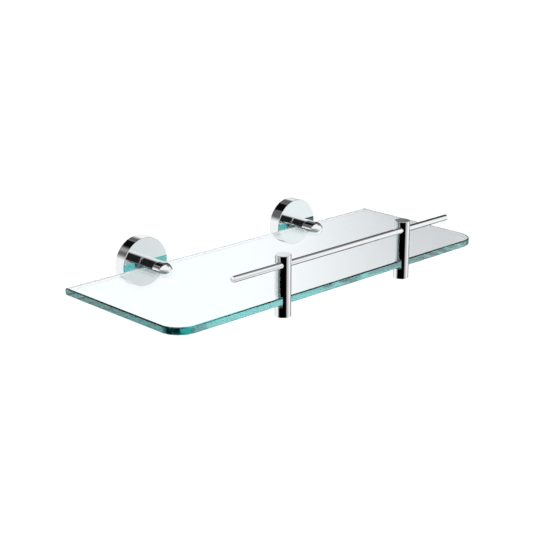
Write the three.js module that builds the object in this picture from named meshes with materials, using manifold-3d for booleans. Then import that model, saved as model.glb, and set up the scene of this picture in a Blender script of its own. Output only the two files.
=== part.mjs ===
// Glass wall shelf with a guard rail, held by two round wall brackets. Millimetres, +Z up.
// The origin lies on the wall, midway between the brackets, level with the axes of their arms.
// +X runs along the shelf, +Y runs into the wall, and the shelf stands out towards -Y.
import * as THREE from 'three';
import { mergeVertices } from 'three/addons/utils/BufferGeometryUtils.js';
import Module from 'manifold-3d';

// Glass shelf
const SHELF_LENGTH = 400;
const SHELF_DEPTH = 155;
const GLASS_THICKNESS = 7;
const GLASS_ARRIS = 1; // ground edge, at 45 degrees
const FRONT_CORNER_RADIUS = 21;
const REAR_GAP = 7.5; // from the face of the wall covers to the glass

// Wall brackets
const BRACKET_SPACING = 203;
const COVER_RADIUS = 26.4;
const COVER_DEPTH = 13;
const COVER_RIM_WALL = 2.4;
const COVER_FACE_WALL = 3;
const COVER_CHAMFER = 0.5;
const PLATE_THICKNESS = 7;
const PLATE_GROOVE_DEPTH = 1;
const PLATE_GROOVE_HALF_WIDTH = 2;
const PLATE_CENTRE_RADIUS = 6.5; // leaves room for the head of the arm's screw
const WALL_SCREW_PITCH = 30;
const WALL_SCREW_SLOT_WIDTH = 5;
const WALL_SCREW_SLOT_LENGTH = 9;
const ARM_RADIUS = 8.25;
const ARM_LENGTH = 35.8; // from the cover's face to the tip of the dome
const ARM_COLLAR_RADIUS = 9;
const ARM_COLLAR_LENGTH = 1.2;
const ARM_JAW_WALL = 1.9; // metal under the glass, at the middle of the arm
const ARM_SLOT_END_GAP = 1;
const ARM_BORE_FLOOR = 1;
const ARM_PAD_RADIUS = 1.7;
const ARM_PAD_THICKNESS = 0.6;

// Rail and its posts
const RAIL_SET_OFFSET = 7; // the posts stand this far right of the shelf's middle
const POST_SPACING = 159.8;
const POST_RADIUS = 7.4;
const POST_TOP = 38.1; // above the glass
const POST_FOOT = 9.7; // below the slot
const POST_FRONT_WALL = 2.25; // metal in front of the slot
const POST_CLAMP_GAP = 2.3; // between the glass and the foot
const POST_CHAMFER = 0.35;
const POST_PAD_INSET = 0.65; // between the clamp pad and the slot's end
const POST_PAD_THICKNESS = 1.2;
const RAIL_RADIUS = 3;
const RAIL_LENGTH = 285;
const RAIL_HEIGHT = 29.5; // centre of the rail above the glass
const RAIL_FRONT_WALL = 1.6; // metal of the post in front of the rail
const RAIL_CHAMFER = 0.3;

// Fasteners: radius, tip chamfer, socket radius across corners, socket depth
const ARM_SCREW = { radius: 3, headRadius: 5, headHeight: 3, socketRadius: 2.3, socketDepth: 1.8 };
const COVER_LOCK_SCREW = { radius: 2, tip: 1.7, socketRadius: 1.15, socketDepth: 1.2 };
const ARM_CLAMP_SCREW = { radius: 2, tip: 0.3, length: 2.1, socketRadius: 1.15, socketDepth: 1.4 };
const POST_CLAMP_SCREW = { radius: 2.5, tip: 0.3, socketRadius: 1.45, socketDepth: 2.5 };
const RAIL_LOCK_SCREW = { radius: 2, tip: 0.3, socketRadius: 1.15, socketDepth: 2 };
const SCREW_CHAMFER = 0.3;

// Clearances
const FIT_GAP = 0.3;
const SOFT_GAP = 0.15; // beside a liner or a pad
const SCREW_RECESS = 0.3; // how far a screw ends inside its hole
const LINER_THICKNESS = 0.4;
const LINER_INSET = 0.6;
const SLOT_CLEARANCE = 0.3; // under the glass in the arm
const PAST = 1; // how far a cutter runs past a face

// Facets round a full turn
const FINE = 48;
const COARSE = 24;
const HEX = 6;
const DOME_STEPS = 10;
const CORNER_STEPS = 12;

// Heights and depths that follow from the sizes above
const GLASS_BOTTOM = -ARM_RADIUS + ARM_JAW_WALL + SLOT_CLEARANCE;
const GLASS_TOP = GLASS_BOTTOM + GLASS_THICKNESS;
const LINER_SPACE = 2 * SOFT_GAP + LINER_THICKNESS;
const COVER_FACE = -COVER_DEPTH;
const GLASS_REAR = COVER_FACE - REAR_GAP;
const GLASS_FRONT = GLASS_REAR - SHELF_DEPTH;
const POST_AXIS = GLASS_FRONT - FIT_GAP - POST_FRONT_WALL + POST_RADIUS;
const COVER_INNER_RADIUS = COVER_RADIUS - COVER_RIM_WALL;
const PLATE_RADIUS = COVER_INNER_RADIUS - FIT_GAP;

const wasm = await Module();
wasm.setup();

// Closed geometry to solid, and back
function solid(geometry) {
  const bare = geometry.clone();
  bare.deleteAttribute('normal');
  bare.deleteAttribute('uv');
  const merged = mergeVertices(bare);
  return new wasm.Manifold(new wasm.Mesh({
    numProp: 3,
    vertProperties: merged.getAttribute('position').array,
    triVerts: new Uint32Array(merged.index.array),
  }));
}

function geometryOf(body) {
  const { vertProperties, triVerts } = body.getMesh();
  const geometry = new THREE.BufferGeometry();
  geometry.setAttribute('position', new THREE.BufferAttribute(vertProperties, 3));
  geometry.setIndex(new THREE.BufferAttribute(triVerts, 1));
  const flat = geometry.toNonIndexed();
  flat.computeVertexNormals();
  return flat;
}

function cut(geometry, ...cutters) {
  const whole = solid(geometry);
  return geometryOf(cutters.reduce((rest, cutter) => rest.subtract(solid(cutter)), whole));
}

// Turned shapes: the profile is a list of [radius, height]
function turnedY(profile, segments = FINE) {
  const points = profile.map(([radius, height]) => new THREE.Vector2(radius, height));
  return new THREE.LatheGeometry(points, segments);
}

function turnedZ(profile, segments = FINE) {
  return turnedY(profile, segments).rotateX(Math.PI / 2);
}

function turnedX(profile, segments = FINE) {
  return turnedY(profile, segments).rotateZ(-Math.PI / 2);
}

// Straight bars between two heights on one axis
function rodY(radius, low, high, segments = COARSE) {
  return new THREE.CylinderGeometry(radius, radius, high - low, segments).translate(0, (low + high) / 2, 0);
}

function rodZ(radius, low, high, segments = COARSE) {
  return rodY(radius, low, high, segments).rotateX(Math.PI / 2);
}

function rodX(radius, low, high, segments = COARSE) {
  return rodY(radius, low, high, segments).rotateZ(-Math.PI / 2);
}

function block(lowX, highX, lowY, highY, lowZ, highZ) {
  const box = new THREE.BoxGeometry(highX - lowX, highY - lowY, highZ - lowZ);
  return box.translate((lowX + highX) / 2, (lowY + highY) / 2, (lowZ + highZ) / 2);
}

// A bar with chamfered ends, from low to high
function chamferedProfile(radius, low, high, chamfer, topChamfer = chamfer) {
  return [
    [0, low],
    [radius - chamfer, low],
    [radius, low + chamfer],
    [radius, high - topChamfer],
    [radius - topChamfer, high],
    [0, high],
  ];
}

// Grub screw on the Z axis with its tip at the top and a hexagon socket at the bottom
function grubScrewGeometry(screw, length) {
  const body = turnedZ(chamferedProfile(screw.radius, -length, 0, SCREW_CHAMFER, screw.tip), COARSE);
  const socket = rodZ(screw.socketRadius, -length - PAST, -length + screw.socketDepth, HEX);
  return cut(body, socket);
}

// Materials
function chrome() {
  return new THREE.MeshStandardMaterial({ color: 0xd8dcdf, metalness: 1, roughness: 0.06 });
}

function steel() {
  return new THREE.MeshStandardMaterial({ color: 0x9c9fa3, metalness: 1, roughness: 0.35 });
}

function castZinc() {
  return new THREE.MeshStandardMaterial({ color: 0xaeb1b4, metalness: 0.9, roughness: 0.5 });
}

function clearPlastic() {
  return new THREE.MeshStandardMaterial({ color: 0xe9ecea, metalness: 0, roughness: 0.45 });
}

function glass() {
  return new THREE.MeshStandardMaterial({
    color: 0xbfe3da,
    metalness: 0,
    roughness: 0.02,
    transparent: true,
    opacity: 0.45,
  });
}

function place(parent, name, geometry, material, x = 0, y = 0, z = 0) {
  const mesh = new THREE.Mesh(geometry, material);
  mesh.name = name;
  mesh.position.set(x, y, z);
  parent.add(mesh);
  return mesh;
}

// Glass pane, its underside at z = 0 and its rear edge on y = 0
function glassGeometry() {
  const half = SHELF_LENGTH / 2;
  const radius = FRONT_CORNER_RADIUS;
  const outline = new THREE.Shape();
  outline.moveTo(-half, 0);
  outline.lineTo(-half, -SHELF_DEPTH + radius);
  outline.absarc(-half + radius, -SHELF_DEPTH + radius, radius, Math.PI, 1.5 * Math.PI);
  outline.lineTo(half - radius, -SHELF_DEPTH);
  outline.absarc(half - radius, -SHELF_DEPTH + radius, radius, 1.5 * Math.PI, 2 * Math.PI);
  outline.lineTo(half, 0);
  outline.closePath();
  const pane = new THREE.ExtrudeGeometry(outline, {
    depth: GLASS_THICKNESS - 2 * GLASS_ARRIS,
    bevelThickness: GLASS_ARRIS,
    bevelSize: GLASS_ARRIS,
    bevelOffset: -GLASS_ARRIS,
    bevelSegments: 1,
    curveSegments: CORNER_STEPS,
  });
  return pane.translate(0, 0, GLASS_ARRIS);
}

// Wall plate: a disc with its back on y = 0 and a groove round its rim for the cover's grub screw
const PLATE_GROOVE_Y = -PLATE_THICKNESS / 2;

function wallPlateGeometry() {
  const disc = turnedY([
    [0, -PLATE_THICKNESS],
    [PLATE_RADIUS, -PLATE_THICKNESS],
    [PLATE_RADIUS, PLATE_GROOVE_Y - PLATE_GROOVE_HALF_WIDTH],
    [PLATE_RADIUS - PLATE_GROOVE_DEPTH, PLATE_GROOVE_Y],
    [PLATE_RADIUS, PLATE_GROOVE_Y + PLATE_GROOVE_HALF_WIDTH],
    [PLATE_RADIUS, 0],
    [0, 0],
  ]);
  const cutters = [rodY(PLATE_CENTRE_RADIUS, -PLATE_THICKNESS - PAST, PAST)];
  for (const side of [-1, 1]) {
    cutters.push(wallScrewSlot().translate(side * WALL_SCREW_PITCH / 2, 0, 0));
  }
  return cut(disc, ...cutters);
}

// Upright slot with round ends that takes a wall screw
function wallScrewSlot() {
  const radius = WALL_SCREW_SLOT_WIDTH / 2;
  const reach = WALL_SCREW_SLOT_LENGTH / 2 - radius;
  const outline = new THREE.Shape();
  outline.absarc(0, reach, radius, 0, Math.PI);
  outline.absarc(0, -reach, radius, Math.PI, 2 * Math.PI);
  outline.closePath();
  const options = { depth: PLATE_THICKNESS + 2 * PAST, bevelEnabled: false, curveSegments: 10 };
  return new THREE.ExtrudeGeometry(outline, options).rotateX(Math.PI / 2).translate(0, PAST, 0);
}

// Cover: a cup with its mouth on the wall
function flangeCoverGeometry() {
  const holeRadius = ARM_SCREW.radius + FIT_GAP;
  const innerFace = COVER_FACE + COVER_FACE_WALL;
  const cup = turnedY([
    [holeRadius, COVER_FACE],
    [COVER_RADIUS - COVER_CHAMFER, COVER_FACE],
    [COVER_RADIUS, COVER_FACE + COVER_CHAMFER],
    [COVER_RADIUS, 0],
    [COVER_INNER_RADIUS, 0],
    [COVER_INNER_RADIUS, innerFace],
    [holeRadius, innerFace],
    [holeRadius, COVER_FACE],
  ]);
  const lockHole = rodZ(COVER_LOCK_SCREW.radius + FIT_GAP, -COVER_RADIUS - PAST, -PLATE_RADIUS);
  return cut(cup, lockHole.translate(0, PLATE_GROOVE_Y, 0));
}

// Arm: root on y = 0, dome at y = -ARM_LENGTH, slotted from the dome back for the glass
const SLOT_END = -REAR_GAP + ARM_SLOT_END_GAP;
const ARM_CLAMP_Y = (SLOT_END - ARM_LENGTH + ARM_RADIUS) / 2;
const ARM_BORE_END = SLOT_END + ARM_BORE_FLOOR;
const ARM_SLOT_BOTTOM = GLASS_BOTTOM - SLOT_CLEARANCE;
const ARM_SLOT_TOP = GLASS_TOP + LINER_SPACE;

function armGeometry() {
  const profile = [];
  const domeCentre = -ARM_LENGTH + ARM_RADIUS;
  for (let step = 0; step <= DOME_STEPS; step += 1) {
    const angle = step / DOME_STEPS * Math.PI / 2;
    profile.push([ARM_RADIUS * Math.sin(angle), domeCentre - ARM_RADIUS * Math.cos(angle)]);
  }
  profile.push([ARM_RADIUS, -ARM_COLLAR_LENGTH]);
  profile.push([ARM_COLLAR_RADIUS, -ARM_COLLAR_LENGTH]);
  profile.push([ARM_COLLAR_RADIUS, -FIT_GAP]);
  profile.push([0, -FIT_GAP]);
  const wide = ARM_RADIUS + PAST;
  const slot = block(-wide, wide, -ARM_LENGTH - PAST, SLOT_END, ARM_SLOT_BOTTOM, ARM_SLOT_TOP);
  const bore = rodY(ARM_SCREW.radius + FIT_GAP, ARM_BORE_END, PAST);
  const clampHole = rodZ(ARM_CLAMP_SCREW.radius + FIT_GAP, -wide, ARM_SLOT_BOTTOM + PAST / 2);
  return cut(turnedY(profile), slot, bore, clampHole.translate(0, ARM_CLAMP_Y, 0));
}

// Screw from inside the cover into the arm, its head's underside on y = 0
function armScrewGeometry() {
  const reach = ARM_BORE_END - COVER_FACE_WALL;
  const body = turnedY([
    [0, reach],
    [ARM_SCREW.radius - SCREW_CHAMFER, reach],
    [ARM_SCREW.radius, reach + SCREW_CHAMFER],
    [ARM_SCREW.radius, 0],
    [ARM_SCREW.headRadius, 0],
    [ARM_SCREW.headRadius, ARM_SCREW.headHeight - SCREW_CHAMFER],
    [ARM_SCREW.headRadius - SCREW_CHAMFER, ARM_SCREW.headHeight],
    [0, ARM_SCREW.headHeight],
  ], COARSE);
  const floor = ARM_SCREW.headHeight - ARM_SCREW.socketDepth;
  return cut(body, rodY(ARM_SCREW.socketRadius, floor, ARM_SCREW.headHeight + PAST, HEX));
}

// Strip under the slot's upper face, from the glass's rear edge to where the dome starts
function armLinerGeometry() {
  const halfWidth = Math.sqrt(ARM_RADIUS ** 2 - ARM_SLOT_TOP ** 2) - LINER_INSET;
  const front = -ARM_LENGTH + ARM_RADIUS;
  return block(-halfWidth, halfWidth, front, -REAR_GAP, 0, LINER_THICKNESS);
}

function addBracket(parent, side, x) {
  const bracket = new THREE.Group();
  bracket.position.x = x;
  parent.add(bracket);
  const arm = new THREE.Group();
  arm.position.y = COVER_FACE;
  bracket.add(arm);

  place(bracket, `wall_plate_${side}`, wallPlateGeometry(), castZinc());
  place(bracket, `flange_cover_${side}`, flangeCoverGeometry(), chrome());
  const lockTip = -PLATE_RADIUS + PLATE_GROOVE_DEPTH - FIT_GAP;
  const lockLength = COVER_RADIUS - SCREW_RECESS + lockTip;
  const lockScrew = grubScrewGeometry(COVER_LOCK_SCREW, lockLength);
  place(bracket, `cover_lock_screw_${side}`, lockScrew, steel(), 0, PLATE_GROOVE_Y, lockTip);

  place(arm, `bracket_arm_${side}`, armGeometry(), chrome());
  place(arm, `arm_fixing_screw_${side}`, armScrewGeometry(), steel(), 0, COVER_FACE_WALL + FIT_GAP);
  place(arm, `arm_liner_${side}`, armLinerGeometry(), clearPlastic(), 0, 0, GLASS_TOP + SOFT_GAP);
  const padTop = GLASS_BOTTOM - SOFT_GAP;
  const pad = rodZ(ARM_PAD_RADIUS, -ARM_PAD_THICKNESS, 0);
  place(arm, `arm_clamp_pad_${side}`, pad, clearPlastic(), 0, ARM_CLAMP_Y, padTop);
  const screwTop = padTop - ARM_PAD_THICKNESS - SOFT_GAP;
  const screw = grubScrewGeometry(ARM_CLAMP_SCREW, ARM_CLAMP_SCREW.length);
  place(arm, `arm_clamp_screw_${side}`, screw, steel(), 0, ARM_CLAMP_Y, screwTop);
}

// Post on the Z axis, with the top of the glass at z = 0
const POST_SLOT_BOTTOM = -GLASS_THICKNESS - POST_CLAMP_GAP;
const POST_BOTTOM = POST_SLOT_BOTTOM - POST_FOOT;
const POST_SLOT_END = -POST_RADIUS + POST_FRONT_WALL;
const POST_PAD_RADIUS = -POST_SLOT_END - POST_PAD_INSET;
const RAIL_Y = -POST_RADIUS + RAIL_FRONT_WALL + FIT_GAP + RAIL_RADIUS;

function postGeometry() {
  const wide = POST_RADIUS + PAST;
  const slot = block(-wide, wide, POST_SLOT_END, wide, POST_SLOT_BOTTOM, LINER_SPACE);
  const railHole = rodX(RAIL_RADIUS + FIT_GAP, -wide, wide).translate(0, RAIL_Y, RAIL_HEIGHT);
  const lockHole = rodY(RAIL_LOCK_SCREW.radius + FIT_GAP, RAIL_Y, wide).translate(0, 0, RAIL_HEIGHT);
  const clampRadius = POST_CLAMP_SCREW.radius + FIT_GAP;
  const clampHole = rodZ(clampRadius, POST_BOTTOM - PAST, POST_SLOT_BOTTOM + PAST);
  const bar = turnedZ(chamferedProfile(POST_RADIUS, POST_BOTTOM, POST_TOP, POST_CHAMFER));
  return cut(bar, slot, railHole, lockHole, clampHole);
}

// Sheet with the outline of the slot's upper face
function postLinerGeometry() {
  const radius = POST_RADIUS - LINER_INSET;
  const front = POST_SLOT_END + LINER_INSET;
  const start = Math.asin(front / radius);
  const outline = new THREE.Shape();
  outline.absarc(0, 0, radius, start, Math.PI - start);
  outline.closePath();
  const options = { depth: LINER_THICKNESS, bevelEnabled: false, curveSegments: COARSE };
  return new THREE.ExtrudeGeometry(outline, options);
}

function addPost(parent, side, x) {
  const post = new THREE.Group();
  post.position.x = x;
  parent.add(post);

  place(post, `rail_post_${side}`, postGeometry(), chrome());
  place(post, `post_liner_${side}`, postLinerGeometry(), clearPlastic(), 0, 0, SOFT_GAP);
  const padTop = -GLASS_THICKNESS - SOFT_GAP;
  const pad = rodZ(POST_PAD_RADIUS, -POST_PAD_THICKNESS, 0);
  place(post, `post_clamp_pad_${side}`, pad, clearPlastic(), 0, 0, padTop);
  const clampTop = padTop - POST_PAD_THICKNESS - SOFT_GAP;
  const clampLength = clampTop - POST_BOTTOM - SCREW_RECESS;
  const clampScrew = grubScrewGeometry(POST_CLAMP_SCREW, clampLength);
  place(post, `post_clamp_screw_${side}`, clampScrew, steel(), 0, 0, clampTop);
  const lockTip = RAIL_Y + RAIL_RADIUS + FIT_GAP;
  const lockScrew = grubScrewGeometry(RAIL_LOCK_SCREW, POST_RADIUS - SCREW_RECESS - lockTip);
  const lock = place(post, `rail_lock_screw_${side}`, lockScrew, steel(), 0, lockTip, RAIL_HEIGHT);
  lock.rotation.x = Math.PI / 2; // the tip points forwards and the socket looks out behind
}

const shelf = new THREE.Group();
const sides = [['left', -1], ['right', 1]];
for (const [side, sign] of sides) addBracket(shelf, side, sign * BRACKET_SPACING / 2);

place(shelf, 'glass_shelf', glassGeometry(), glass(), 0, GLASS_REAR, GLASS_BOTTOM);

const railSet = new THREE.Group();
railSet.position.set(RAIL_SET_OFFSET, POST_AXIS, GLASS_TOP);
shelf.add(railSet);
for (const [side, sign] of sides) addPost(railSet, side, sign * POST_SPACING / 2);
const rail = turnedX(chamferedProfile(RAIL_RADIUS, -RAIL_LENGTH / 2, RAIL_LENGTH / 2, RAIL_CHAMFER), COARSE);
place(railSet, 'guard_rail', rail, chrome(), 0, RAIL_Y, RAIL_HEIGHT);

export default shelf;
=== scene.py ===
"""Glass wall shelf with a guard rail: the looks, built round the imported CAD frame. Metres, +Z up."""
import math
from collections import namedtuple

import bmesh
import bpy
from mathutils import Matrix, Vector


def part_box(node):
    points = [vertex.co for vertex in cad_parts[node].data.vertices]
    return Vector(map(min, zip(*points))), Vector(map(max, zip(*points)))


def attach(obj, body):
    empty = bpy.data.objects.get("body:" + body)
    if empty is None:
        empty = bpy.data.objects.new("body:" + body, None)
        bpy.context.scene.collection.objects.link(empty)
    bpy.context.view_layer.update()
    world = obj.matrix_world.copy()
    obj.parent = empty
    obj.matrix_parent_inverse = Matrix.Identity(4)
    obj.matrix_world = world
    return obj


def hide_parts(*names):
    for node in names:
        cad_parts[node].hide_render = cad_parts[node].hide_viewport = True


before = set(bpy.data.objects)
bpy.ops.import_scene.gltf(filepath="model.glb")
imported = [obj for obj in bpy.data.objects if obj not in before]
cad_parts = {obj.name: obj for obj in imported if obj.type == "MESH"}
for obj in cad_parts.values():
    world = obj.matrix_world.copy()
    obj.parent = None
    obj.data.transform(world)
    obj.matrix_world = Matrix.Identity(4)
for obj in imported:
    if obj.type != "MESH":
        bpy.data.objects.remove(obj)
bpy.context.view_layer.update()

SIDES = ("left", "right")
MM = 0.001

# Shapes that the frame's boxes don't give
CORNER_RADIUS = 21 * MM
ARRIS = 1 * MM  # ground edge of the glass
COVER_EDGE = 0.5 * MM
COVER_HOLE_RADIUS = 3.3 * MM
COVER_RIM_WALL = 2.4 * MM
COVER_FACE_WALL = 3 * MM
COLLAR_LENGTH = 1.2 * MM
COLLAR_EDGE = 0.25 * MM
SEAT_GAP = 0.02 * MM  # left between the arm's collar and the cover
ARM_RADIUS = 8.25 * MM
ARM_CUT_EDGE = 0.18 * MM  # bevel of the edges that the arm's cuts leave
POST_EDGE = 0.35 * MM
POST_CUT_EDGE = 0.12 * MM
POST_CLAMP_HOLE_RADIUS = 2.8 * MM
POST_CLAMP_GAP = 2.3 * MM
POST_FRONT_WALL = 2.25 * MM
RAIL_EDGE = 0.3 * MM
RAIL_HOLE_RADIUS = 3.3 * MM
SCREW_HOLE_RADIUS = 2.3 * MM
SLOT_UNDER_GLASS = 0.3 * MM
SLOT_OVER_GLASS = 0.7 * MM
OVERRUN = 1 * MM  # how far a cutter passes the surface that it opens
COVER_OVERRUN = 2 * MM
COVER_BREAKTHROUGH = 0.2 * MM  # how far the cover's screw hole runs into its hollow

# Fineness of the meshes
COVER_SEGMENTS = 160
SHAFT_SEGMENTS = 128
RAIL_SEGMENTS = 96
RAIL_HOLE_SEGMENTS = 64
HOLE_SEGMENTS = 48
CORNER_STEPS = 32
DOME_STEPS = 28
EDGE_STEPS = 5
SMALL_EDGE_STEPS = 4
SHARP_ANGLE = 35  # degrees between two faces, over which their edge shades sharp
PANE_SHARP_ANGLE = 12
BEVEL_ANGLE = 40
ON_AXIS = 1e-9  # greatest radius of a profile's point that closes it
LEVEL = 1e-6  # greatest rise of a level edge

# Camera, measured from the middle of the glass's rear top edge
CAMERA_OFFSET = Vector((-0.8459, -0.9354, 0.3765))
CAMERA_AZIMUTH = 43.79  # from +Y towards +X
CAMERA_PITCH = 17.61  # downwards
CAMERA_LENS = 88.84

# Light of the white room
PLAIN_LIGHT = 1.88  # on matt surfaces
MIRROR_LIGHT = 0.976  # in mirrors
THROUGH_GLASS = (1.1, 1.045, 1.07, 1)  # seen straight on or through the pane
MOST_BOUNCES = 32

FLOOR_SIZE = 60
FLOOR_HEIGHT = -3  # far enough down to leave a view from below the shelf clear
FLOOR_COLOUR = (0.92, 0.92, 0.92, 1)

# Colours
CHROME = (0.9, 0.91, 0.925, 1)
STEEL = ((0.42, 0.43, 0.44), (0.6, 0.61, 0.62))
CAST_METAL = ((0.45, 0.46, 0.47), (0.62, 0.63, 0.64))
SOFT_LINER = ((0.72, 0.76, 0.75), (0.86, 0.89, 0.88))
NYLON = ((0.74, 0.75, 0.73), (0.86, 0.87, 0.85))
GLASS_BODY = (0.0, 0.77, 0.765, 1)
GLASS_DENSITY = 11.5  # per metre of glass that light passes
# Painted shade: base colour that darkens the glass's round corners to a deep green
GLASS_CORNER_PAINTED_SHADE = (0.1, 0.55, 0.53, 1)


def add_camera():
    low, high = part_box("glass_shelf")
    anchor = Vector(((low.x + high.x) / 2, high.y, high.z))
    data = bpy.data.cameras.new("camera")
    data.sensor_width = 36
    data.lens = CAMERA_LENS
    data.clip_start = 0.01
    data.clip_end = 100
    data.dof.use_dof = False
    camera = bpy.data.objects.new("camera", data)
    camera.location = anchor + CAMERA_OFFSET
    camera.rotation_euler = (math.radians(90 - CAMERA_PITCH), 0, math.radians(-CAMERA_AZIMUTH))
    bpy.context.scene.collection.objects.link(camera)
    bpy.context.scene.camera = camera


# Studio: a white room with dark flags. Mirrors show one set, and matt surfaces are lit past another.
# Azimuths are in degrees round the object, 0 towards the camera and positive towards the picture's left.
# Elevations are in degrees above the horizon. Softness is half the width of each limit's soft change.
Flag = namedtuple("Flag", "azimuth azimuth_softness elevation elevation_softness brightness")

MIRROR_FLAGS = (
    # On the camera's side, from the right to the left
    Flag((-84, -50), (5, 8), (-50, 4), (10, 10), 0.68),
    Flag((-54, 70), (14, 18), (-45, 4), (12, 10), 0.0),
    Flag((-30, 60), (30, 20), (4, 24), (10, 10), 0.3),
    # On the left
    Flag((62, 112), (12, 10), (14, 40), (9, 4), 0.13),
    Flag((58, 110), (16, 8), (42, 100), (6, 1), 0.02),
    Flag((106, 152), (7, 5), (34, 100), (5, 1), 0.004),
    # Behind the object, above the horizon
    Flag((150, 232), (6, 16), (27, 100), (7, 1), 0.12),
    Flag((183.5, 236), (5, 12), (0, 36), (6, 9), 0.06),
    Flag((232, 262), (10, 10), (34, 62), (6, 6), 0.22),
    # Behind the object, below the horizon
    Flag((134, 152), (5, 5), (-40, -8), (6, 3), 0.45),
    Flag((167, 200), (4, 8), (-46, -9), (5, 3), 0.15),
    Flag((208, 238), (6, 6), (-40, -9), (6, 3), 0.2),
    Flag((190, 250), (8, 10), (-75, -36), (5, 5), 0.12),
)
# The same studio as a mirror shows it in another mirror, such as the arms' roots in the covers
DEEP_MIRROR_FLAGS = (
    Flag((-66, 36), (16, 10), (-2, 60), (8, 8), 0.015),
    Flag((-50, 36), (20, 10), (-34, -2), (8, 8), 0.12),
    Flag((-60, 30), (20, 10), (-70, -34), (8, 8), 0.3),
    Flag((50, 112), (8, 10), (-2, 52), (6, 8), 0.05),
    Flag((183.5, 236), (5, 12), (0, 40), (6, 9), 0.12),
)
# Matt surfaces are lit softly from the right
SOFT_FLAGS = (Flag((-25, 165), (25, 25), (-100, 60), (1, 25), 0.05),)


# Shader nodes
def new_node(tree, kind, **settings):
    node = tree.nodes.new(kind)
    for key, value in settings.items():
        setattr(node, key, value)
    return node


def feed(tree, value, socket):
    """Links an output to a socket, or sets the socket to a plain number."""
    if isinstance(value, (int, float)):
        socket.default_value = value
    else:
        tree.links.new(value, socket)


def maths(tree, operation, *values):
    node = new_node(tree, "ShaderNodeMath", operation=operation)
    for socket, value in zip(node.inputs, values):
        feed(tree, value, socket)
    return node.outputs[0]


def step(tree, value, start, end):
    """0 at start, 1 at end, smooth between."""
    node = new_node(tree, "ShaderNodeMapRange", interpolation_type="SMOOTHSTEP")
    feed(tree, value, node.inputs["Value"])
    node.inputs["From Min"].default_value = min(start, end)
    node.inputs["From Max"].default_value = max(start, end)
    node.inputs["To Min"].default_value = 0 if start < end else 1
    node.inputs["To Max"].default_value = 1 if start < end else 0
    return node.outputs["Result"]


def band(tree, value, limits, softness):
    """1 between the limits and 0 outside them, with a soft change at each."""
    low, high = limits
    low_soft, high_soft = softness
    rise = step(tree, value, low - low_soft, low + low_soft)
    fall = step(tree, value, high + high_soft, high - high_soft)
    return maths(tree, "MULTIPLY", rise, fall)


def flagged(tree, azimuth, elevation, flags):
    """Strength of the studio's light where flags stand in front of its white walls."""
    light = 1.0
    for flag in flags:
        middle = sum(flag.azimuth) / 2
        half = (flag.azimuth[1] - flag.azimuth[0]) / 2
        turned_to = maths(tree, "WRAP", maths(tree, "SUBTRACT", azimuth, middle), 180, -180)
        across = band(tree, turned_to, (-half, half), flag.azimuth_softness)
        upwards = band(tree, elevation, flag.elevation, flag.elevation_softness)
        shade = maths(tree, "MULTIPLY", maths(tree, "MULTIPLY", across, upwards), 1 - flag.brightness)
        light = maths(tree, "MULTIPLY", maths(tree, "SUBTRACT", 1, shade), light)
    return light


def background(tree, strength, colour=(1, 1, 1, 1)):
    node = new_node(tree, "ShaderNodeBackground")
    node.inputs["Color"].default_value = colour
    feed(tree, strength, node.inputs["Strength"])
    return node.outputs["Background"]


def either(tree, chooser, if_not, if_so):
    """The second shader where the chooser is 1, and the first where it is 0."""
    node = new_node(tree, "ShaderNodeMixShader")
    tree.links.new(chooser, node.inputs["Fac"])
    tree.links.new(if_not, node.inputs[1])
    tree.links.new(if_so, node.inputs[2])
    return node.outputs["Shader"]


def directions(tree):
    """Azimuth and elevation of the direction that a ray leaves in, in the flags' degrees."""
    coordinates = new_node(tree, "ShaderNodeTexCoord")
    turn = new_node(tree, "ShaderNodeVectorRotate", rotation_type="Z_AXIS")
    tree.links.new(coordinates.outputs["Generated"], turn.inputs["Vector"])
    turn.inputs["Angle"].default_value = math.radians(CAMERA_AZIMUTH)
    split = new_node(tree, "ShaderNodeSeparateXYZ")
    tree.links.new(turn.outputs["Vector"], split.inputs["Vector"])
    left = maths(tree, "MULTIPLY", split.outputs["X"], -1)
    towards = maths(tree, "MULTIPLY", split.outputs["Y"], -1)
    azimuth = maths(tree, "DEGREES", maths(tree, "ARCTAN2", left, towards))
    elevation = maths(tree, "DEGREES", maths(tree, "ARCSINE", split.outputs["Z"]))
    return azimuth, elevation


def add_world():
    world = bpy.data.worlds.new("studio")
    world.use_nodes = True
    world.cycles.sampling_method = "NONE"
    bpy.context.scene.world = world
    tree = world.node_tree
    tree.nodes.clear()
    azimuth, elevation = directions(tree)
    # A ray's glossy depth is the number of mirrors that it has met
    path = new_node(tree, "ShaderNodeLightPath")
    mirrored = maths(tree, "GREATER_THAN", path.outputs["Glossy Depth"], 0.5)
    mirrored_twice = maths(tree, "GREATER_THAN", path.outputs["Glossy Depth"], 1.5)

    strength = new_node(tree, "ShaderNodeMix", data_type="FLOAT")
    tree.links.new(mirrored_twice, strength.inputs["Factor"])
    tree.links.new(flagged(tree, azimuth, elevation, MIRROR_FLAGS), strength.inputs["A"])
    tree.links.new(flagged(tree, azimuth, elevation, DEEP_MIRROR_FLAGS), strength.inputs["B"])
    studio = background(tree, maths(tree, "MULTIPLY", strength.outputs["Result"], MIRROR_LIGHT))
    soft = flagged(tree, azimuth, elevation, SOFT_FLAGS)
    plain = background(tree, maths(tree, "MULTIPLY", soft, PLAIN_LIGHT))
    clear = background(tree, 1.0, THROUGH_GLASS)

    unmirrored = either(tree, path.outputs["Is Diffuse Ray"], clear, plain)
    output = new_node(tree, "ShaderNodeOutputWorld")
    tree.links.new(either(tree, mirrored, unmirrored, studio), output.inputs["Surface"])


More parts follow.
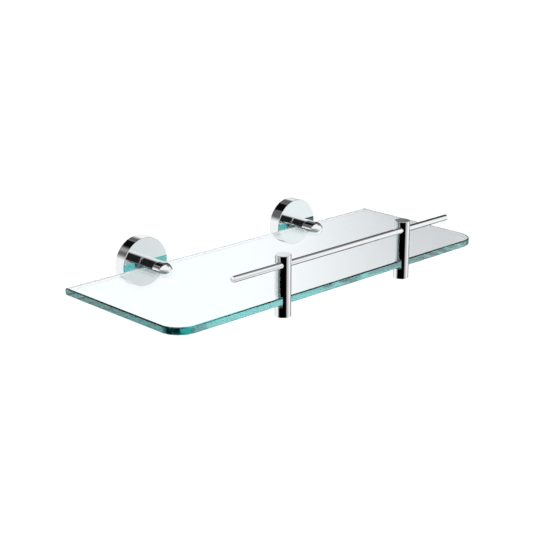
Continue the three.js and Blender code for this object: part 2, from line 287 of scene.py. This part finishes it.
def add_floor():
    material = bpy.data.materials.new("floor")
    material.use_nodes = True
    surface = material.node_tree.nodes["Principled BSDF"]
    surface.inputs["Base Color"].default_value = FLOOR_COLOUR
    surface.inputs["Roughness"].default_value = 1
    surface.inputs["Specular IOR Level"].default_value = 0
    mesh = bpy.data.meshes.new("floor")
    around = ((-1, -1), (1, -1), (1, 1), (-1, 1))
    corners = [(FLOOR_SIZE * x, FLOOR_SIZE * y, FLOOR_HEIGHT) for x, y in around]
    mesh.from_pydata(corners, [], [(0, 1, 2, 3)])
    mesh.materials.append(material)
    floor = bpy.data.objects.new("floor", mesh)
    floor.visible_glossy = False
    floor.visible_transmission = False
    bpy.context.scene.collection.objects.link(floor)


# Materials
def principled(name, **values):
    material = bpy.data.materials.new(name)
    material.use_nodes = True
    surface = material.node_tree.nodes["Principled BSDF"]
    for socket, value in values.items():
        surface.inputs[socket.replace("_", " ")].default_value = value
    return material, material.node_tree, surface


def noise(tree, scale, detail):
    coordinates = new_node(tree, "ShaderNodeTexCoord")
    node = new_node(tree, "ShaderNodeTexNoise")
    node.inputs["Scale"].default_value = scale
    node.inputs["Detail"].default_value = detail
    tree.links.new(coordinates.outputs["Object"], node.inputs["Vector"])
    return node.outputs["Fac"]


def ranged(tree, value, low, high):
    node = new_node(tree, "ShaderNodeMapRange")
    tree.links.new(value, node.inputs["Value"])
    node.inputs["To Min"].default_value = low
    node.inputs["To Max"].default_value = high
    return node.outputs["Result"]


def mottle(tree, surface, colours, scale, detail):
    """Base colour that wanders between a dark and a light one."""
    dark, light = colours
    tint = new_node(tree, "ShaderNodeValToRGB")
    tint.color_ramp.elements[0].color = (*dark, 1)
    tint.color_ramp.elements[1].color = (*light, 1)
    tree.links.new(noise(tree, scale, detail), tint.inputs["Fac"])
    tree.links.new(tint.outputs["Color"], surface.inputs["Base Color"])


def roughen(tree, surface, low, high, scale, detail):
    tree.links.new(ranged(tree, noise(tree, scale, detail), low, high), surface.inputs["Roughness"])


def bump(tree, surface, strength, depth, scale, detail):
    node = new_node(tree, "ShaderNodeBump")
    node.inputs["Strength"].default_value = strength
    node.inputs["Distance"].default_value = depth
    tree.links.new(noise(tree, scale, detail), node.inputs["Height"])
    tree.links.new(node.outputs["Normal"], surface.inputs["Normal"])


def chrome_material():
    material, tree, surface = principled("chrome", Base_Color=CHROME, Metallic=1.0)
    roughen(tree, surface, 0.015, 0.05, scale=90, detail=2)
    bump(tree, surface, 0.04, 0.02 * MM, scale=260, detail=1)
    return material


def steel_material():
    material, tree, surface = principled("screw_steel", Metallic=1.0)
    mottle(tree, surface, STEEL, scale=700, detail=4)
    roughen(tree, surface, 0.22, 0.4, scale=1500, detail=2)
    bump(tree, surface, 0.15, 0.02 * MM, scale=2500, detail=2)
    return material


def cast_material():
    material, tree, surface = principled("cast_plate", Metallic=0.9)
    mottle(tree, surface, CAST_METAL, scale=300, detail=5)
    roughen(tree, surface, 0.42, 0.62, scale=900, detail=3)
    bump(tree, surface, 0.3, 0.06 * MM, scale=1200, detail=3)
    return material


def plastic_material(name, colours, roughness, transmission):
    material, tree, surface = principled(name, Transmission_Weight=transmission, IOR=1.45)
    mottle(tree, surface, colours, scale=500, detail=3)
    roughen(tree, surface, *roughness, scale=1400, detail=2)
    bump(tree, surface, 0.15, 0.03 * MM, scale=1800, detail=2)
    return material


def glass_material():
    """Clear float glass: its straight edges scatter a little light; its round corners carry painted shade,
    a deep green put into the base colour.
    """
    material, tree, surface = principled("glass", IOR=1.52)
    geometry = new_node(tree, "ShaderNodeNewGeometry")
    split = new_node(tree, "ShaderNodeSeparateXYZ")
    tree.links.new(geometry.outputs["True Normal"], split.inputs["Vector"])
    # Upright is 0 on the flat faces, 0.3 on the arris and 1 on the edge
    upright = maths(tree, "SUBTRACT", 1, maths(tree, "ABSOLUTE", split.outputs["Z"]))
    edge = step(tree, upright, 0.5, 0.9)
    # Diagonal is 0 on the straight edges and 0.5 half way round a corner
    diagonal = maths(tree, "ABSOLUTE", maths(tree, "MULTIPLY", split.outputs["X"], split.outputs["Y"]))
    # Mask of the round corners, which carry the painted shade
    corner = step(tree, diagonal, 0.02, 0.25)
    straight = maths(tree, "MAXIMUM", maths(tree, "SUBTRACT", edge, corner), 0)

    grain = noise(tree, 900, 3)
    milky = maths(tree, "MULTIPLY", straight, ranged(tree, grain, 0.07, 0.14))
    tree.links.new(maths(tree, "SUBTRACT", 1, milky), surface.inputs["Transmission Weight"])
    ground = maths(tree, "MULTIPLY", edge, ranged(tree, grain, 0.06, 0.16))
    tree.links.new(ground, surface.inputs["Roughness"])
    # Painted shade on the round corners: the base colour goes from white to a deep green
    tint = new_node(tree, "ShaderNodeMix", data_type="RGBA")
    tree.links.new(corner, tint.inputs["Factor"])
    tint.inputs["A"].default_value = (1, 1, 1, 1)
    tint.inputs["B"].default_value = GLASS_CORNER_PAINTED_SHADE
    tree.links.new(tint.outputs["Result"], surface.inputs["Base Color"])

    absorption = new_node(tree, "ShaderNodeVolumeAbsorption")
    absorption.inputs["Color"].default_value = GLASS_BODY
    absorption.inputs["Density"].default_value = GLASS_DENSITY
    output = tree.nodes["Material Output"]
    tree.links.new(absorption.outputs["Volume"], output.inputs["Volume"])
    return material


# Meshes
def arc(across, up, radius, start, end, steps):
    """Points of an arc round (across, up), with angles in degrees from the first axis to the second."""
    points = []
    for index in range(steps + 1):
        angle = math.radians(start + (end - start) * index / steps)
        points.append((across + radius * math.cos(angle), up + radius * math.sin(angle)))
    return points


def turned(profile, axis, segments):
    """Mesh of revolution: profile is (radius, height) along axis 'X', 'Y' or 'Z'; radius 0 closes it."""
    mesh = bmesh.new()
    rings = []
    for radius, height in profile:
        ring = []
        for index in range(1 if radius < ON_AXIS else segments):
            angle = 2 * math.pi * index / segments
            across, up = radius * math.cos(angle), radius * math.sin(angle)
            point = {"X": (height, across, up), "Y": (up, height, across), "Z": (across, up, height)}
            ring.append(mesh.verts.new(point[axis]))
        rings.append(ring)
    pairs = list(zip(rings, rings[1:]))
    if profile[0][0] > ON_AXIS:
        pairs.append((rings[-1], rings[0]))
    for low, high in pairs:
        for index in range(segments):
            after = (index + 1) % segments
            corners = []
            for ring, place in ((low, index), (low, after), (high, after), (high, index)):
                vert = ring[place % len(ring)]
                if vert not in corners:
                    corners.append(vert)
            if len(corners) > 2:
                mesh.faces.new(corners)
    bmesh.ops.recalc_face_normals(mesh, faces=mesh.faces)
    return mesh


def rod(radius, start, end, axis, segments=HOLE_SEGMENTS):
    return turned([(0, start), (radius, start), (radius, end), (0, end)], axis, segments)


def rounded_rod(radius, start, end, edge, axis, segments, steps):
    """A rod whose two ends have a small round edge."""
    profile = [(0, start)]
    profile += arc(radius - edge, start + edge, edge, -90, 0, steps)
    profile += arc(radius - edge, end - edge, edge, 0, 90, steps)
    profile += [(0, end)]
    return turned(profile, axis, segments)


def box_cutter(low, high):
    mesh = bmesh.new()
    bmesh.ops.create_cube(mesh, size=1)
    middle = [(a + b) / 2 for a, b in zip(low, high)]
    size = [b - a for a, b in zip(low, high)]
    for vert in mesh.verts:
        vert.co = Vector([c + s * v for c, s, v in zip(middle, size, vert.co)])
    return mesh


def moved(mesh, x=0.0, y=0.0, z=0.0):
    for vert in mesh.verts:
        vert.co += Vector((x, y, z))
    return mesh


def shade(mesh, sharp_angle=SHARP_ANGLE):
    mesh.shade_smooth()
    mesh.set_sharp_from_angle(angle=math.radians(sharp_angle))


def to_mesh(name, source, sharp_angle=SHARP_ANGLE):
    mesh = bpy.data.meshes.new(name)
    source.to_mesh(mesh)
    source.free()
    shade(mesh, sharp_angle)
    return mesh


def as_object(name, source):
    piece = bpy.data.objects.new(name, to_mesh(name, source))
    bpy.context.scene.collection.objects.link(piece)
    return piece


def round_about(axis, centre, radius, dome=None):
    """Exact normal of a cylinder about 'Y' or 'Z' through centre, with a dome below the dome's height."""
    index = "XYZ".index(axis)
    tolerance = 0.01 * MM

    def normal(point):
        outward = point - centre
        if dome is None or point[index] > dome:
            outward[index] = 0
        else:
            outward[index] = point[index] - dome
        on_surface = abs(outward.length - radius) < tolerance
        return outward.normalized() if on_surface else None

    return normal


def true_normals(mesh, surface_normal):
    """Corner normals from the exact surface, so that long cut faces and flat ends mirror as they should."""
    along_surface, along_axis = 0.97, 0.9999  # least cosines
    normals = [corner.vector.copy() for corner in mesh.corner_normals]
    for face in mesh.polygons:
        flat = max(abs(value) for value in face.normal) > along_axis
        for index in face.loop_indices:
            exact = surface_normal(mesh.vertices[mesh.loops[index].vertex_index].co)
            if exact is not None and exact.dot(face.normal) > along_surface:
                normals[index] = exact
            elif flat:
                normals[index] = face.normal.copy()
    mesh.normals_split_custom_set(normals)


def cut_mesh(name, body, cutters, surface_normal, bevel=0.0):
    """The body less its cutters, with its sharp edges eased by a small bevel if one is given."""
    piece = as_object(name, body)
    helpers = []
    for cutter in cutters:
        helper = as_object("cutter", cutter)
        modifier = piece.modifiers.new("cut", "BOOLEAN")
        modifier.operation = "DIFFERENCE"
        modifier.solver = "EXACT"
        modifier.object = helper
        helpers.append(helper)
    if bevel:
        modifier = piece.modifiers.new("ease", "BEVEL")
        modifier.width = bevel
        modifier.segments = 2
        modifier.limit_method = "ANGLE"
        modifier.angle_limit = math.radians(BEVEL_ANGLE)
        modifier.harden_normals = True
    graph = bpy.context.evaluated_depsgraph_get()
    mesh = bpy.data.meshes.new_from_object(piece.evaluated_get(graph), depsgraph=graph)
    mesh.name = name
    for gone in (piece, *helpers):
        bpy.data.objects.remove(gone, do_unlink=True)
    shade(mesh)
    true_normals(mesh, surface_normal)
    return mesh


# Pieces
def finish_piece(name, mesh, material, body, node):
    mesh.materials.clear()
    mesh.materials.append(material)
    piece = bpy.data.objects.new(name, mesh)
    bpy.context.scene.collection.objects.link(piece)
    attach(piece, body)
    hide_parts(node)


def build_glass(material):
    low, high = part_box("glass_shelf")
    outline = [(low.x, high.y)]
    outline += arc(low.x + CORNER_RADIUS, low.y + CORNER_RADIUS, CORNER_RADIUS, 180, 270, CORNER_STEPS)
    outline += arc(high.x - CORNER_RADIUS, low.y + CORNER_RADIUS, CORNER_RADIUS, 270, 360, CORNER_STEPS)
    outline += [(high.x, high.y)]
    mesh = bmesh.new()
    bottom = mesh.faces.new([mesh.verts.new((x, y, low.z)) for x, y in outline])
    grown = bmesh.ops.extrude_face_region(mesh, geom=[bottom])["geom"]
    for item in grown:
        if isinstance(item, bmesh.types.BMVert):
            item.co.z = high.z
    bmesh.ops.recalc_face_normals(mesh, faces=mesh.faces)
    rims = [e for e in mesh.edges if abs(e.verts[0].co.z - e.verts[1].co.z) < LEVEL]
    bmesh.ops.bevel(mesh, geom=rims, offset=ARRIS, segments=1, profile=0.5, affect="EDGES")
    pane = to_mesh("glass_pane", mesh, PANE_SHARP_ANGLE)
    finish_piece("glass_pane", pane, material, "shelf", "glass_shelf")


def build_cover(side, material):
    low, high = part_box(f"flange_cover_{side}")
    lock_low, lock_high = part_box(f"cover_lock_screw_{side}")
    middle_x = (low.x + high.x) / 2
    radius = (high.x - low.x) / 2
    inner = radius - COVER_RIM_WALL
    floor = low.y + COVER_FACE_WALL
    profile = [(COVER_HOLE_RADIUS, low.y)]
    profile += arc(radius - COVER_EDGE, low.y + COVER_EDGE, COVER_EDGE, -90, 0, EDGE_STEPS)
    profile += [(radius, high.y), (inner, high.y), (inner, floor), (COVER_HOLE_RADIUS, floor)]
    cup = moved(turned(profile, "Y", COVER_SEGMENTS), x=middle_x)
    hole = rod(SCREW_HOLE_RADIUS, -radius - COVER_OVERRUN, -inner + COVER_BREAKTHROUGH, "Z")
    hole = moved(hole, (lock_low.x + lock_high.x) / 2, (lock_low.y + lock_high.y) / 2)
    rim = round_about("Y", Vector((middle_x, 0, 0)), radius)
    mesh = cut_mesh(f"cover_{side}", cup, [hole], rim)
    finish_piece(f"cover_{side}", mesh, material, "brackets", f"flange_cover_{side}")


def build_arm(side, material):
    low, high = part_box(f"bracket_arm_{side}")
    glass_low, glass_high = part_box("glass_shelf")
    screw_low, screw_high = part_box(f"arm_clamp_screw_{side}")
    middle_x = (low.x + high.x) / 2
    middle_z = (low.z + high.z) / 2
    collar = (high.x - low.x) / 2
    cover_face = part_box(f"flange_cover_{side}")[0].y
    shoulder = cover_face - COLLAR_LENGTH
    root = cover_face - SEAT_GAP
    dome = low.y + ARM_RADIUS
    profile = [(0, low.y)]
    profile += arc(0, dome, ARM_RADIUS, -90, 0, DOME_STEPS)[1:]
    profile += [(ARM_RADIUS, shoulder)]
    profile += arc(collar - COLLAR_EDGE, shoulder + COLLAR_EDGE, COLLAR_EDGE, -90, 0, SMALL_EDGE_STEPS)
    profile += [(collar, root), (0, root)]
    body = moved(turned(profile, "Y", SHAFT_SEGMENTS), x=middle_x, z=middle_z)

    reach = ARM_RADIUS + OVERRUN
    slot = box_cutter(
        (middle_x - reach, low.y - OVERRUN, glass_low.z - SLOT_UNDER_GLASS),
        (middle_x + reach, glass_high.y + OVERRUN, glass_high.z + SLOT_OVER_GLASS),
    )
    hole = rod(SCREW_HOLE_RADIUS, -reach, glass_low.z - middle_z, "Z")
    hole = moved(hole, middle_x, (screw_low.y + screw_high.y) / 2, middle_z)
    wall = round_about("Y", Vector((middle_x, 0, middle_z)), ARM_RADIUS, dome)
    mesh = cut_mesh(f"arm_{side}", body, [slot, hole], wall, ARM_CUT_EDGE)
    finish_piece(f"arm_{side}", mesh, material, "brackets", f"bracket_arm_{side}")


def build_post(side, material):
    low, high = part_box(f"rail_post_{side}")
    glass_low, glass_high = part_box("glass_shelf")
    rail_low, rail_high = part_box("guard_rail")
    radius = (high.x - low.x) / 2
    middle_x, middle_y = (low.x + high.x) / 2, (low.y + high.y) / 2
    rail_y, rail_z = (rail_low.y + rail_high.y) / 2, (rail_low.z + rail_high.z) / 2
    body = rounded_rod(radius, low.z, high.z, POST_EDGE, "Z", SHAFT_SEGMENTS, EDGE_STEPS)
    body = moved(body, middle_x, middle_y)

    reach = radius + OVERRUN
    slot_floor = glass_low.z - POST_CLAMP_GAP
    slot = box_cutter(
        (middle_x - reach, middle_y - radius + POST_FRONT_WALL, slot_floor),
        (middle_x + reach, middle_y + reach, glass_high.z + SLOT_OVER_GLASS),
    )
    rail_hole = rod(RAIL_HOLE_RADIUS, -reach, reach, "X", RAIL_HOLE_SEGMENTS)
    lock_hole = rod(SCREW_HOLE_RADIUS, rail_y, middle_y + reach, "Y")
    clamp_hole = rod(POST_CLAMP_HOLE_RADIUS, low.z - OVERRUN, slot_floor + OVERRUN, "Z")
    cutters = [
        slot,
        moved(rail_hole, middle_x, rail_y, rail_z),
        moved(lock_hole, middle_x, 0, rail_z),
        moved(clamp_hole, middle_x, middle_y),
    ]
    wall = round_about("Z", Vector((middle_x, middle_y, 0)), radius)
    mesh = cut_mesh(f"post_{side}", body, cutters, wall, POST_CUT_EDGE)
    finish_piece(f"post_{side}", mesh, material, "shelf", f"rail_post_{side}")


def build_rail(material):
    low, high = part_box("guard_rail")
    radius = (high.z - low.z) / 2
    bar = rounded_rod(radius, low.x, high.x, RAIL_EDGE, "X", RAIL_SEGMENTS, SMALL_EDGE_STEPS)
    bar = moved(bar, 0, (low.y + high.y) / 2, (low.z + high.z) / 2)
    finish_piece("rail", to_mesh("rail", bar), material, "shelf", "guard_rail")


def dress(material, *nodes):
    """Gives CAD nodes that stay visible their material."""
    for node in nodes:
        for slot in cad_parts[node].material_slots:
            slot.material = material


add_camera()
add_world()
add_floor()
scene = bpy.context.scene
scene.view_settings.view_transform = "Standard"
scene.view_settings.look = "None"
scene.cycles.max_bounces = MOST_BOUNCES
scene.cycles.glossy_bounces = MOST_BOUNCES
scene.cycles.transmission_bounces = MOST_BOUNCES

chrome = chrome_material()
steel = steel_material()
plate = cast_material()
liner = plastic_material("soft_liner", SOFT_LINER, roughness=(0.3, 0.42), transmission=0.6)
nylon = plastic_material("nylon", NYLON, roughness=(0.38, 0.5), transmission=0.0)

build_glass(glass_material())
build_rail(chrome)
for side in SIDES:
    build_cover(side, chrome)
    build_arm(side, chrome)
    build_post(side, chrome)
    dress(plate, f"wall_plate_{side}")
    dress(liner, f"arm_liner_{side}", f"post_liner_{side}")
    dress(nylon, f"arm_clamp_pad_{side}", f"post_clamp_pad_{side}")
    dress(steel, f"arm_fixing_screw_{side}", f"cover_lock_screw_{side}", f"arm_clamp_screw_{side}")
    dress(steel, f"post_clamp_screw_{side}", f"rail_lock_screw_{side}")
